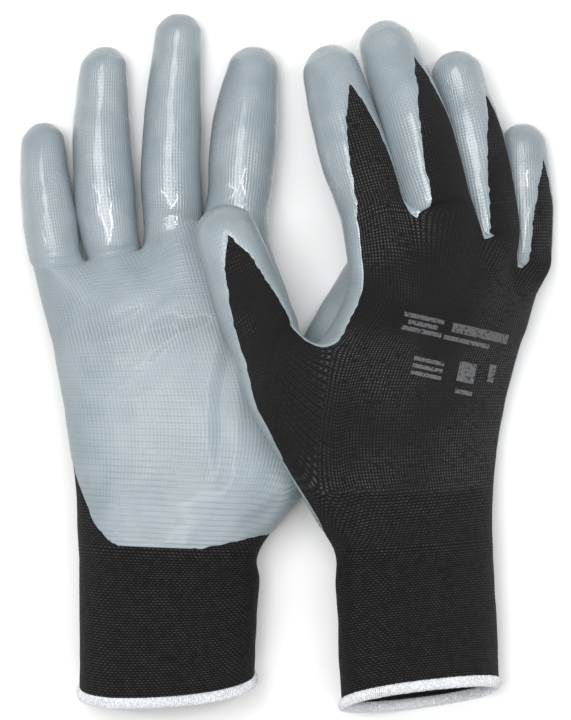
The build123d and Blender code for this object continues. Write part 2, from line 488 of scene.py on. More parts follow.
def deselect_all() -> None:
    """Leaves nothing selected and nothing in edit mode."""
    if bpy.context.mode != "OBJECT":
        bpy.ops.object.mode_set(mode="OBJECT")
    bpy.ops.object.select_all(action="DESELECT")


def activate(obj: bpy.types.Object) -> None:
    """Makes an object the only selected one, and the active one."""
    deselect_all()
    obj.select_set(True)
    bpy.context.view_layer.objects.active = obj


def apply_modifier(obj: bpy.types.Object, kind: str, **settings: object) -> None:
    """Adds a modifier and applies it.

    Args:
        obj: the object.
        kind: the modifier's type.
        settings: its properties.
    """
    activate(obj)
    modifier = obj.modifiers.new(kind.title(), kind)
    for key, value in settings.items():
        setattr(modifier, key, value)
    bpy.ops.object.modifier_apply(modifier=modifier.name)


def copied(whole: bpy.types.Object, name: str) -> bpy.types.Object:
    """Copies an object and its mesh under a new name."""
    piece = whole.copy()
    piece.data = whole.data.copy()
    piece.name = piece.data.name = name
    bpy.context.collection.objects.link(piece)
    return piece


@contextmanager
def opened(mesh: bpy.types.Mesh) -> Iterator[bmesh.types.BMesh]:
    """Opens a mesh for changes, and writes them back."""
    cells = bmesh.new()
    cells.from_mesh(mesh)
    yield cells
    cells.to_mesh(mesh)
    cells.free()


def rows_of(
    items: bpy.types.bpy_prop_collection, name: str, width: int = 3, kind: type = float
) -> np.ndarray:
    """Reads a property of every vertex, edge or attribute value, one row for each.

    Args:
        items: the mesh's vertices, edges or attribute values.
        name: the property.
        width: how many numbers it holds.
        kind: what sort of numbers.

    Returns:
        The rows.
    """
    values = np.empty(len(items) * width, dtype=kind)
    items.foreach_get(name, values)
    return values.reshape(-1, width)


def set_points(mesh: bpy.types.Mesh, points: np.ndarray) -> None:
    """Moves every vertex to its new place."""
    mesh.vertices.foreach_set("co", points.ravel())
    mesh.update()


def tube(name: str, loops: list[list[Vector]]) -> bpy.types.Object:
    """Joins rings of points into a closed tube.

    Args:
        name: the new piece's name.
        loops: the rings, in order; the last is joined to the first.

    Returns:
        The piece.
    """
    cells = bmesh.new()
    rings = [[cells.verts.new(spot) for spot in loop] for loop in loops]
    sides = len(rings[0])
    for step, ring in enumerate(rings):
        following = rings[(step + 1) % len(rings)]
        for side in range(sides):
            corner = (side + 1) % sides
            cells.faces.new((ring[side], ring[corner], following[corner], following[side]))
    bmesh.ops.recalc_face_normals(cells, faces=cells.faces)
    mesh = bpy.data.meshes.new(name)
    cells.to_mesh(mesh)
    cells.free()
    for polygon in mesh.polygons:
        polygon.use_smooth = True
    piece = bpy.data.objects.new(name, mesh)
    bpy.context.collection.objects.link(piece)
    return piece


def node_points(name: str) -> np.ndarray:
    """A CAD node's vertices, in metres."""
    return rows_of(frame["nodes"][name].data.vertices, "co")


def joint_place(child: str) -> Vector:
    """Where the joint that moves a body is."""
    return Vector(next(j["pos_m"] for j in frame["joints"] if j["child"] == child))


@dataclass(frozen=True)
class Axis:
    """A finger's centre line, from its bend to its tip, as the frame has it."""

    base: Vector
    tip: Vector
    radius: float

    @property
    def along(self) -> Vector:
        """The way it points."""
        return (self.tip - self.base).normalized()

    @property
    def length(self) -> float:
        """From bend to tip."""
        return (self.tip - self.base).length


def digit_axis(node: str, body: str) -> Axis:
    """Reads a finger's centre line from its CAD stall.

    Args:
        node: the stall's node.
        body: the body that it moves with.

    Returns:
        Its axis.
    """
    points = node_points(node)
    base = np.array(joint_place(body))
    tip = points[np.argmax(np.linalg.norm(points - base, axis=1))]
    for slack in (6.0, 4.0, 2.0, 1.0, 0.5):
        along = (tip - base) / np.linalg.norm(tip - base)
        reach = points @ along
        ring = points[reach < reach.min() + slack * MM]
        base = (ring.max(axis=0) + ring.min(axis=0)) / 2
        tip = points[np.argmax(points @ along)]
    radius = np.linalg.norm(ring - base, axis=1).max()
    return Axis(Vector(base), Vector(tip), float(radius))


# ---------------------------------------------------------------- the shape of a glove


@dataclass(frozen=True)
class Row:
    """One row across the palm or cuff, in millimetres and degrees.

    Args:
        little_side: where its silhouette is on the little finger's side, seen from above.
        thumb_side: the same on the thumb's side.
        height: how high its middle lies.
        depth: how thick it is.
        roll: how far its thumb side is lifted.
        lean: how far its upper half stands forward.
    """

    little_side: tuple
    thumb_side: tuple
    height: float
    depth: float
    roll: float
    lean: float = 0.0


@dataclass(frozen=True)
class DigitForm:
    """How a finger is filled out and dipped.

    Args:
        base_fullness: its width at its base, as a share of the CAD's.
        tip_fullness: the same at its tip.
        swell: how much fuller its middle is.
        bow: how far its middle bows towards the thumb's side, in millimetres.
        sag: how far its middle sags, in millimetres.
        roll: how far its back is turned away from the thumb, in degrees.
        tip_dipped: how much of its tip is dipped all round, in millimetres.
        start: where it leaves the palm, in millimetres from its CAD base.
        first: from there to its first ring, in millimetres.
        tilts: how far each ring's side towards the index finger stands ahead, in millimetres.
    """

    base_fullness: float = 1.0
    tip_fullness: float = 0.78
    swell: float = 0.06
    bow: float = 0.0
    sag: float = 0.0
    roll: float = 0.0
    tip_dipped: float = 19.0
    start: float = -5.0
    first: float = 6.0
    tilts: tuple = ()


@dataclass(frozen=True)
class Crease:
    """A soft furrow in the fabric.

    Args:
        start: one end, in millimetres.
        end: the other end.
        depth: how deep it is.
        width: how wide.
        side: 1 on top, -1 beneath.
    """

    start: tuple
    end: tuple
    depth: float
    width: float
    side: int

    def drop(self, points: np.ndarray, normals: np.ndarray) -> np.ndarray:
        """How far each point moves along its normal.

        Args:
            points: the fabric's points, in millimetres.
            normals: their normals.

        Returns:
            The moves, in millimetres.
        """
        first, last = np.array(self.start, float), np.array(self.end, float)
        run = last - first
        length = np.linalg.norm(run)
        way = run / length
        offset = points[:, :2] - first
        along = offset @ way / length
        across = offset @ np.array((-way[1], way[0]))
        wander, bends, ends, reach = 0.06, 5.0, 4.0, 1.6
        lip_height, lip_place, lip_sharpness = 0.45, 1.8, 1.3
        across = across + np.sin(along * bends) * wander * length * along
        fade = np.clip(along * ends, 0, 1) * np.clip((1 - along) * ends, 0, 1)
        facing = np.clip(normals[:, 2] * self.side * reach, 0, 1)
        near = across / self.width
        lip = lip_height * np.exp(-((np.abs(near) - lip_place) ** 2) * lip_sharpness)
        shape = lip - np.exp(-near**2)
        return self.depth * shape * fade * facing


@dataclass(frozen=True)
class DipEdge:
    """How far points of the chart lie inside the dip's edge, in millimetres; negative is bare.

    Args:
        palm: on the palm's outer columns, and how much more for each column inwards.
        back: the same on the back.
        sides: on the hand's sides.
        thumb_side: on the thumb's side, below the thumb.
        webs: between the fingers, on the palm, in the middle and on the back.
        thumb_web: on the back, where the thumb's web starts.
        inner: on a finger's inner points, and the least radius that its edge is measured on.
        bare_half: half the bare strip of a finger's back in degrees, and the way over which it narrows.
        low: how far the edge rises to the little finger's side of the wrist.
        high: how far it rises to the thumb's side.
        side: how much more it rises on the side itself.
        corner: how round it is where it turns from the wrist to the side.
        margin: how much is added all along.
    """

    palm: tuple = (13.0, 8.0)
    back: tuple = (-3.5, -10.0)
    sides: float = 4.5
    thumb_side: float = 4.5
    webs: tuple = (7.0, 3.0, 1.3)
    thumb_web: float = -1.2
    inner: tuple = (12.0, 6.0)
    bare_half: tuple = (67.0, 59.0)
    low: float = 20.0
    high: float = 5.0
    side: float = 14.0
    corner: float = 4.0
    margin: float = 0.7


@dataclass(frozen=True)
class Hem:
    """A cuff's overlocked hem: its folded edge, and the thread that is wound round it.

    Args:
        ring: the cuff's open edge, as points in order.
        middle: the middle of the ring.
        outward: along the cuff, out of it.
        seed: where the thread's unevenness starts.
        half_long: half the folded edge's width along the cuff.
        half_thick: half its thickness.
        inset: how far its middle lies inside the cuff's edge.
        overhang: how far its middle lies beyond the cuff's end, as a share of half its width.
        thread: the thread's radius.
        turns: how often the thread goes round.
    """

    ring: list
    middle: Vector
    outward: Vector
    seed: float
    half_long: float = 1.55 * MM
    half_thick: float = 1.0 * MM
    inset: float = 0.4 * MM
    overhang: float = 0.75
    thread: float = 0.34 * MM
    turns: int = 250

    def centre(self, share: float) -> tuple[Vector, Vector]:
        """The folded edge's middle at a share of the way round, and the way out of the cuff there."""
        place = share * len(self.ring)
        low = int(place) % len(self.ring)
        point = self.ring[low].lerp(self.ring[(low + 1) % len(self.ring)], place - int(place))
        away = point - self.middle
        away = (away - self.outward * away.dot(self.outward)).normalized()
        return point + self.outward * (self.half_long * self.overhang) - away * self.inset, away

    @staticmethod
    def oval(middle: Vector, first: Vector, second: Vector, sides: int) -> list[Vector]:
        """A ring of points round a middle, with its two half axes."""
        angles = [2 * pi * side / sides for side in range(sides)]
        return [middle + first * cos(angle) + second * sin(angle) for angle in angles]

    def fold(self, sides: int = 10) -> list[list[Vector]]:
        """The rings of the folded edge."""
        steps = len(self.ring) * 2
        loops = []
        for step in range(steps):
            point, away = self.centre(step / steps)
            loops.append(self.oval(point, self.outward * self.half_long, away * self.half_thick, sides))
        return loops

    def winding(self, per_turn: int = 10, sides: int = 5) -> list[list[Vector]]:
        """The rings of the wound thread.

        Args:
            per_turn: rings in one turn round the fold.
            sides: points in a ring.

        Returns:
            The rings, lined up with one another.
        """
        unevenness, waves, flatter = 0.08, 300, 0.7
        steps = self.turns * per_turn
        path = []
        for step in range(steps):
            share = step / steps
            point, away = self.centre(share)
            angle = 2 * pi * step / per_turn
            uneven = 1 + unevenness * noise.noise(Vector((share * waves, self.seed, 0)))
            long = (self.half_long + self.thread) * uneven
            thick = (self.half_thick + self.thread * flatter) * uneven
            path.append(point + self.outward * (long * cos(angle)) + away * (thick * sin(angle)))
        loops = []
        for step in range(steps):
            ahead = (path[(step + 1) % steps] - path[step - 1]).normalized()
            _, away = self.centre(step / steps)
            level = self.outward if abs(ahead.dot(self.outward)) < 0.7 else away
            first = ahead.cross(level).normalized()
            second = ahead.cross(first)
            loops.append(self.oval(path[step], first * self.thread, second * self.thread, sides))
        return self.untwisted(loops)

    @staticmethod
    def untwisted(loops: list) -> list:
        """Turns each ring of a tube to line up with the one before it."""
        done = [loops[0]]
        for loop in loops[1:]:
            before, sides = done[-1], len(loop)
            tries = []
            for turn in range(sides):
                for way in (1, -1):
                    gaps = (loop[(i + turn) * way % sides] - before[i] for i in range(sides))
                    tries.append((sum(gap.length for gap in gaps), turn, way))
            _, turn, way = min(tries)
            done.append([loop[(i + turn) * way % sides] for i in range(sides)])
        return done


@dataclass
class Glove:
    """One glove: its chart, its shell, its coating, its cuff and its hem."""

    name: str
    palm_up: bool
    mirrored: bool
    rows: tuple
    hem: Row
    digits: dict
    crotches: tuple
    seed: float
    knuckle_edges: tuple = ()
    creases: tuple = ()
    dip: DipEdge = DipEdge()
    axes: dict = field(default_factory=dict)
    parts: list = field(default_factory=list)

    def build(self) -> list[bpy.types.Object]:
        """Builds every visible piece of the glove.

        Returns:
            The pieces.
        """
        for part in FINGERS + (Part.THUMB,):
            digit = part.name.lower()
            self.axes[part] = digit_axis(f"{self.name}_{digit}_stall", f"{self.name}_{digit}")
        shell = self.charted_block()
        self.place_block(shell)
        self.write_charts(shell)
        self.fit(shell)
        apply_modifier(shell, "SUBSURF", levels=LEVELS, render_levels=LEVELS, uv_smooth="NONE")
        self.relax(shell)
        self.wrinkle(shell)
        coat = self.coating(shell)
        pieces = self.cut(shell, coat) + self.hem_pieces(self.open_edge(shell))
        for obj in (shell, coat):
            bpy.data.objects.remove(obj)
        return pieces

    # ------------------------------------------------------------ chart

    def charted_block(self) -> bpy.types.Object:
        """Cuts a block into squares and extrudes the fingers, the thumb and the cuff from it."""
        deselect_all()
        size = Vector((COLUMNS, PALM_ROWS, 2))
        bpy.ops.mesh.primitive_cube_add(size=1.0, location=size / 2)
        block = bpy.context.active_object
        block.name = f"{self.name}_shell"
        block.scale = size
        bpy.ops.object.transform_apply(location=True, rotation=True, scale=True)
        bpy.ops.object.mode_set(mode="EDIT")
        for axis in range(3):
            normal = Vector((0, 0, 0))
            normal[axis] = 1
            for step in range(1, int(size[axis])):
                bpy.ops.mesh.select_all(action="SELECT")
                bpy.ops.mesh.bisect(plane_co=normal * step, plane_no=normal)
        for number in range(len(FINGERS)):
            low = Vector((2 * number, PALM_ROWS, 0))
            self.extrude(block, low, low + Vector((2, 0, 2)), Vector((0, 1, 0)), DIGIT_ROWS)
        low = Vector((COLUMNS, THUMB_ROW, 0))
        self.extrude(block, low, low + Vector((0, 2, 2)), Vector((1, 0, 0)), DIGIT_ROWS)
        low = Vector((0, 0, 0))
        self.extrude(block, low, Vector((COLUMNS, 0, 2)), Vector((0, -1, 0)), CUFF_ROWS)
        self.select_faces(block, Vector((0, -CUFF_ROWS, 0)), Vector((COLUMNS, -CUFF_ROWS, 2)))
        bpy.ops.mesh.delete(type="FACE")
        bpy.ops.object.mode_set(mode="OBJECT")
        self.name_parts(block)
        return block

    def name_parts(self, block: bpy.types.Object) -> None:
        """Marks every face with its part, spreading from the tips up to the row that each part grows from."""
        self.parts = []
        with opened(block.data) as cells:
            for face in cells.faces:
                face.material_index = Part.PALM.value
            for part in Part:
                if part is not Part.PALM:
                    self.spread(cells, part)
            for vertex in cells.verts:
                owners = [Part(face.material_index) for face in vertex.link_faces]
                others = [part for part in owners if part is not Part.PALM]
                self.parts.append(others[0] if others else Part.PALM)

    def spread(self, cells: bmesh.types.BMesh, part: Part) -> None:
        """Marks the faces of one part, from its far end up to its root."""
        todo = [face for face in cells.faces if self.at_end(face.calc_center_median(), part)]
        seen = set(todo)
        while todo:
            face = todo.pop()
            face.material_index = part.value
            for edge in face.edges:
                if self.on_root(edge, part):
                    continue
                fresh = [other for other in edge.link_faces if other not in seen]
                seen.update(fresh)
                todo += fresh

    @staticmethod
    def on_root(edge: bmesh.types.BMEdge, part: Part) -> bool:
        """Whether an edge of the chart lies where a part grows from the palm."""
        if part is Part.THUMB:
            return all(round(v.co.x) == COLUMNS for v in edge.verts)
        row = 0 if part is Part.CUFF else PALM_ROWS
        return all(round(v.co.y) == row for v in edge.verts)

    @staticmethod
    def at_end(middle: Vector, part: Part) -> bool:
        """Whether a face of the chart lies at a part's far end."""
        if part is Part.THUMB:
            return middle.x > COLUMNS + DIGIT_ROWS - 0.1
        if part is Part.CUFF:
            return middle.y < 0.9 - CUFF_ROWS and 0.1 < middle.x < 0.9
        number = FINGERS.index(part)
        return middle.y > PALM_ROWS + DIGIT_ROWS - 0.1 and 2 * number < middle.x < 2 * number + 2

    @staticmethod
    def select_faces(block: bpy.types.Object, low: Vector, high: Vector) -> None:
        """Selects the faces whose middles lie in a box of the chart, in edit mode."""
        bpy.ops.mesh.select_mode(type="FACE")
        bpy.ops.mesh.select_all(action="DESELECT")
        cells = bmesh.from_edit_mesh(block.data)
        margin = 0.01
        for face in cells.faces:
            middle = face.calc_center_median()
            face.select_set(all(low[i] - margin < middle[i] < high[i] + margin for i in range(3)))
        bmesh.update_edit_mesh(block.data)

    def extrude(self, block: bpy.types.Object, low: Vector, high: Vector, step: Vector, times: int) -> None:
        """Extrudes the faces in a box of the chart, one square at a time.

        Args:
            block: the chart.
            low: the box's low corner.
            high: its high corner.
            step: one square's move.
            times: how many squares.
        """
        for number in range(times):
            self.select_faces(block, low + step * number, high + step * number)
            bpy.ops.mesh.extrude_region_move(TRANSFORM_OT_translate={"value": step})

    # ------------------------------------------------------------ placing

    def place_block(self, block: bpy.types.Object) -> None:
        """Moves each point of the chart to its place on the hand, and keeps the chart as an attribute."""
        mesh = block.data
        chart = mesh.attributes.new("chart", "FLOAT_VECTOR", "POINT")
        for vertex in mesh.vertices:
            x, y, z = (round(c) for c in vertex.co)
            chart.data[vertex.index].vector = (x, y, z)
            vertex.co = self.place(x, y, z, self.parts[vertex.index])
        if self.mirrored:
            mesh.flip_normals()

    def place(self, x: int, y: int, z: int, part: Part) -> Vector:
        """The place of one point of the chart, in metres."""
        if x > COLUMNS:
            return self.digit_point(Part.THUMB, x - COLUMNS, y - THUMB_ROW - 1, z - 1)
        if y > PALM_ROWS:
            return self.digit_point(part, y - PALM_ROWS, x - 2 * FINGERS.index(part) - 1, z - 1)
        if y == PALM_ROWS:
            return self.knuckle_point(x, z)
        if y < 0:
            share = -y / CUFF_ROWS
            return self.section_point(self.between(self.rows[0], self.hem, share), x, z)
        point = self.section_point(self.rows[y], x, z)
        if x == COLUMNS and y == THUMB_ROW + 1 and z != 1:
            row = self.rows[y]
            fuller, inset = 1.1, 4.0
            lift = (z - 1) * self.axes[Part.THUMB].radius * fuller
            inward = inset * (1 if self.mirrored else -1)
            edge = Vector((row.thumb_side[0] + inward, row.thumb_side[1], row.height + self.rise(row)))
            return edge * MM + self.rolled_up(row.roll) * lift
        return point

    def rise(self, row: Row) -> float:
        """How far a row's thumb side stands above its middle, in millimetres."""
        flatter = 0.8
        half = abs(row.thumb_side[0] - row.little_side[0]) / 2
        return half * flatter * sin(radians(row.roll))

    def rolled_up(self, roll: float) -> Vector:
        """Up from the palm, rolled away from the thumb."""
        away = 1 if self.mirrored else -1
        return Vector((away * sin(radians(roll)), 0, cos(radians(roll))))

    @staticmethod
    def between(first: Row, last: Row, share: float) -> Row:
        """A row between two others."""

        def mix(a: float, b: float) -> float:
            return a + (b - a) * share

        return Row(
            tuple(mix(a, b) for a, b in zip(first.little_side, last.little_side)),
            tuple(mix(a, b) for a, b in zip(first.thumb_side, last.thumb_side)),
            mix(first.height, last.height),
            mix(first.depth, last.depth),
            mix(first.roll, last.roll),
            mix(first.lean, last.lean),
        )

    def section_point(self, row: Row, x: int, z: int) -> Vector:
        """A point on a rounded section of the palm or cuff.

        Args:
            row: the section.
            x: the chart's column.
            z: the chart's layer.

        Returns:
            Its place in metres.
        """
        little, thumb = Vector(row.little_side), Vector(row.thumb_side)
        middle = (little + thumb) / 2
        reach = (thumb - little).length / 2
        level = (thumb - little).normalized()
        turn = radians(row.roll)
        half_depth = row.depth / 2
        half_width = sqrt(max(1.0, reach**2 - (half_depth * sin(turn)) ** 2)) / cos(turn)
        share = SECTION_REACH * (x - COLUMNS / 2) / (COLUMNS / 2)
        if z == 1:
            across, up = (1.0 if x else -1.0), 0.0
        else:
            across, up = share, (z - 1) * (1 - abs(share) ** SECTION_POWER) ** (1 / SECTION_POWER)
        flat = across * half_width * cos(turn) - up * half_depth * sin(turn)
        lift = across * half_width * sin(turn) + up * half_depth * cos(turn)
        spot = middle + level * flat
        return Vector((spot.x, spot.y + row.lean * up, row.height + lift)) * MM

    def digit_frame(self, part: Part) -> tuple[Vector, Vector, Vector]:
        """A finger's own directions: along, towards the thumb's side, and up from it, rolled."""
        along = self.axes[part].along
        up = self.rolled_up(self.digits[part].roll)
        up = (up - along * up.dot(along)).normalized()
        side = along.cross(up)
        if side.x * (-1 if self.mirrored else 1) < 0:
            side = -side
        if part is Part.THUMB:
            side = -side
        return along, side, up

    def digit_station(self, part: Part, step: int) -> tuple[float, float]:
        """How far along a finger a ring of the chart is, and its radius, in metres."""
        axis, form = self.axes[part], self.digits[part]
        base, tip = axis.radius * form.base_fullness, axis.radius * form.tip_fullness
        straight = DIGIT_ROWS - len(TIP_RINGS)
        end = axis.length - tip
        if step > straight:
            back, share = TIP_RINGS[step - straight - 1]
            return axis.length - back * tip, tip * share
        start, first = form.start * MM, form.first * MM
        reach = start + first + (end - start - first) * (step - 1) / straight
        share = reach / end
        taper = 1.3
        radius = base + (tip - base) * max(0.0, share) ** taper
        full = max(0.0, min(1.0, share))
        return reach, radius * (1 + form.swell * 4 * full * (1 - full))

    def digit_point(self, part: Part, step: int, a: int, c: int) -> Vector:
        """A point on one of a finger's rings.

        Args:
            part: the finger.
            step: the ring, from one at its base.
            a: -1, 0 or 1 across it, towards the thumb's side (on the thumb, towards the index finger).
            c: -1, 0 or 1 up it.

        Returns:
            Its place in metres.
        """
        axis, form = self.axes[part], self.digits[part]
        along, side, up = self.digit_frame(part)
        reach, radius = self.digit_station(part, step)
        share = max(0.0, min(1.0, reach / axis.length))
        swell = 4 * share * (1 - share)
        if a == 0 and c == 0:
            return axis.tip
        tilt = a * form.tilts[step - 1] * MM if step <= len(form.tilts) else 0.0
        middle = axis.base + along * (reach + tilt)
        middle += side * (form.bow * swell * MM) - UP * (form.sag * swell * MM)
        angle = atan2(c, a)
        return middle + side * (radius * cos(angle)) + up * (radius * sin(angle))

    def knuckle_point(self, x: int, z: int) -> Vector:
        """A point on the row of the webs, where the fingers start."""
        c = z - 1
        if x % 2:
            return self.root_point(FINGERS[x // 2], 0, c)
        if x in (0, COLUMNS):
            part, a = (Part.INDEX, 1) if x else (Part.LITTLE, -1)
            wanted = Vector(self.knuckle_edges[1 if x else 0]) * MM
            edge = self.root_point(part, a, 0)
            return self.root_point(part, a, c) + Vector((wanted.x - edge.x, wanted.y - edge.y, 0))
        left, right = FINGERS[x // 2 - 1], FINGERS[x // 2]
        web = (self.root_point(left, 1, c) + self.root_point(right, -1, c)) / 2
        middle = (self.root_point(left, 1, 0) + self.root_point(right, -1, 0)) / 2
        thinner = 0.75
        web = middle + (web - middle) * thinner
        crotch = self.crotches[x // 2 - 1]
        return Vector((crotch[0] * MM, crotch[1] * MM, web.z))

    def root_point(self, part: Part, a: int, c: int) -> Vector:
        """A point on a finger's root ring."""
        axis, form = self.axes[part], self.digits[part]
        along, side, up = self.digit_frame(part)
        flare = 1.02
        radius = axis.radius * form.base_fullness * flare
        angle = atan2(c, a) if a or c else 0.0
        middle = axis.base + along * (form.start * MM)
        return middle + side * (radius * cos(angle)) + up * (radius * sin(angle))

    # ------------------------------------------------------------ charts

    def write_charts(self, block: bpy.types.Object) -> None:
        """Writes the knit's stitches and the dip's edge onto the shell as UV layers."""
        mesh = block.data
        names = ("knit", "grid", "dip")
        for name in names:
            mesh.uv_layers.new(name=name)
        knit, grid, dip = (mesh.uv_layers[name] for name in names)
        chart = mesh.attributes["chart"].data
        for polygon in mesh.polygons:
            part = Part(polygon.material_index)
            spots = [Vector(chart[v].vector) for v in polygon.vertices]
            spread = [max(s[i] for s in spots) - min(s[i] for s in spots) for i in range(3)]
            middle = sum(spots, Vector()) / len(spots)
            for number, (loop, spot) in enumerate(zip(polygon.loop_indices, spots)):
                owner = self.parts[polygon.vertices[number]]
                knit.data[loop].uv = self.stitch(spot, spread, middle, part)
                grid.data[loop].uv = (spot.x, spot.y)
                dip.data[loop].uv = (self.coated(spot, owner) / MM, spot.z)

    def stitch(self, spot: Vector, spread: list, middle: Vector, part: Part) -> tuple[float, float]:
        """The stitch and course at a corner of a face of the chart."""
        thumb = part is Part.THUMB
        around, onward = (spot.y, spot.x - COLUMNS) if thumb else (spot.x, spot.y)
        across = 1 if thumb else 0
        once_round = 2 * COLUMNS + 2
        skew = 0.2
        if spread[2] < 0.5:
            wale = around if spot.z > 1 else once_round - around
        elif spread[across] < 0.5:
            wale = around + self.facing(middle, part) * (2 - spot.z)
        else:
            wale = around + (2 - spot.z) * skew
        if thumb:
            length = onward * (self.axes[part].length / DIGIT_ROWS)
        elif onward > PALM_ROWS:
            length = PALM_ROWS * PALM_ROW + (onward - PALM_ROWS) * (self.axes[part].length / DIGIT_ROWS)
        else:
            length = onward * (CUFF_ROW if onward < 0 else PALM_ROW)
        return wale * STITCHES_PER_COLUMN, length / COURSE

    @staticmethod
    def facing(middle: Vector, part: Part) -> int:
        """Which way a side face looks along the chart's columns."""
        if part is Part.THUMB:
            return 1 if middle.y > THUMB_ROW + 1 else -1
        if part in FINGERS:
            return 1 if middle.x > 2 * FINGERS.index(part) + 1 else -1
        return 1 if middle.x > COLUMNS / 2 else -1

    def coated(self, spot: Vector, part: Part) -> float:
        """How far inside the dipped area a point of the chart is, in metres; negative is bare."""
        x, y, z = (round(c) for c in spot)
        back = 0 if self.palm_up else 2
        toward_back = 1 if z == back else (0 if z == 1 else -1)
        if x > COLUMNS:
            return self.coated_digit(Part.THUMB, x - COLUMNS, y - THUMB_ROW - 1, toward_back)
        if y > PALM_ROWS:
            return self.coated_digit(part, y - PALM_ROWS, x - 2 * FINGERS.index(part) - 1, toward_back)
        if y == PALM_ROWS and x % 2 == 0 and 0 < x < COLUMNS:
            return self.dip.webs[toward_back + 1] * MM
        if toward_back == 0:
            return (self.dip.thumb_side if x == COLUMNS and y < THUMB_ROW + 2 else self.dip.sides) * MM
        if toward_back > 0 and x == COLUMNS and y == THUMB_ROW + 2:
            return self.dip.thumb_web * MM
        outer, more = self.dip.back if toward_back > 0 else self.dip.palm
        return (outer + more * min(x, COLUMNS - x)) * MM

    def coated_digit(self, part: Part, step: int, a: int, toward_back: int) -> float:
        """How far inside the dipped area a point on a finger is."""
        axis, form = self.axes[part], self.digits[part]
        reach, radius = self.digit_station(part, step)
        deepest, least_radius = self.dip.inner
        if a == 0 and toward_back == 0:
            return deepest * MM
        angle = abs(degrees(atan2(abs(a), toward_back)))
        bare = axis.length - form.tip_dipped * MM - reach
        widest, over = self.dip.bare_half
        limit = widest * sqrt(bare / (over * MM)) if bare > 0 else bare / MM * 2.0
        return radians(angle - limit) * max(radius, least_radius * MM)

    # ------------------------------------------------------------ fitting and wrinkles

    def fit(self, block: bpy.types.Object) -> None:
        """Moves the chart's points until the smooth surface passes through their places."""
        tries, share = 6, 0.75
        mesh = block.data
        wanted = rows_of(mesh.vertices, "co")
        current = wanted.copy()
        modifier = block.modifiers.new("Smooth", "SUBSURF")
        modifier.levels = 1
        for _ in range(tries):
            smooth = block.evaluated_get(bpy.context.evaluated_depsgraph_get())
            points = rows_of(smooth.to_mesh().vertices, "co")
            smooth.to_mesh_clear()
            current += share * (wanted - points[: len(wanted)])
            set_points(mesh, current)
        block.modifiers.remove(modifier)

    @staticmethod
    def relax(shell: bpy.types.Object, times: int = 14) -> None:
        """Evens out the webs between the fingers and round the thumb's root, as stretched knit does."""
        web_rows, thumb_columns, widened, pull = 1.1, 1.4, 1.5, 0.5
        mesh = shell.data
        points = rows_of(mesh.vertices, "co")
        column, row, _ = rows_of(mesh.attributes["chart"].data, "vector").T
        edges = rows_of(mesh.edges, "vertices", 2, int)
        first, second = edges.T
        near_web = np.clip(1 - np.abs(row - PALM_ROWS) / web_rows, 0, 1)
        near_thumb = np.clip(1 - np.abs(column - COLUMNS) / thumb_columns, 0, 1)
        near_thumb *= (row > THUMB_ROW - 0.5) & (row < THUMB_ROW + 2.5)
        weight = np.clip(np.maximum(near_web, near_thumb) * widened, 0, 1)[:, None] * pull
        degree = np.bincount(edges.ravel(), minlength=len(points))[:, None]
        for _ in range(times):
            total = np.zeros_like(points)
            np.add.at(total, first, points[second])
            np.add.at(total, second, points[first])
            points += weight * (total / degree - points)
        set_points(mesh, points)

    def wrinkle(self, shell: bpy.types.Object) -> None:
        """Gives the smooth shell the unevenness of soft fabric."""
        points = rows_of(shell.data.vertices, "co")
        normals = rows_of(shell.data.vertices, "normal")
        shift = Vector((self.seed, self.seed, 0))
        heights = np.zeros(len(points))
        for number, spot in enumerate(points):
            point = Vector(spot) / MM
            for octave, (waves, height) in enumerate(UNEVENNESS, start=1):
                heights[number] += noise.noise(point * waves + shift * octave) * height
        for crease in self.creases:
            heights += crease.drop(points / MM, normals)
        points += normals * (heights[:, None] * MM)
        table, soft = 0.6 * MM, 0.8 * MM
        points[:, 2] = table + soft * np.logaddexp(0, (points[:, 2] - table) / soft)
        set_points(shell.data, points)

    # ------------------------------------------------------------ coating

    def coating(self, shell: bpy.types.Object) -> bpy.types.Object:
        """Grows the dipped layer from the shell, cut along the dip's uneven edge."""
        least_share, edge_height, shoulder = 0.06, 0.3, 0.9 * MM
        coat = copied(shell, f"{self.name}_coat")
        with opened(coat.data) as cells:
            dip = cells.loops.layers.uv["dip"]
            grid = cells.loops.layers.uv["grid"]
            inside = {}
            for vertex in cells.verts:
                loop = vertex.link_loops[0]
                around, layer = loop[dip].uv
                inside[vertex] = self.inside_dip(vertex.co, around * MM, (*loop[grid].uv, layer))
            fresh = []
            for edge in list(cells.edges):
                first, last = edge.verts
                a, b = inside[first], inside[last]
                if a * b >= 0:
                    continue
                share = min(1 - least_share, max(least_share, a / (a - b)))
                _, vertex = bmesh.utils.edge_split(edge, first, share)
                inside[vertex] = 0.0
                fresh.append(vertex)
            bmesh.ops.connect_verts(cells, verts=fresh)
            bare = [face for face in cells.faces if sum(inside[v] for v in face.verts) < 0]
            bmesh.ops.delete(cells, geom=bare, context="FACES")
            cells.normal_update()
            for vertex in cells.verts:
                share = min(1.0, edge_height + max(0.0, inside[vertex]) / shoulder)
                vertex.co += vertex.normal * (COAT * share)
        return coat

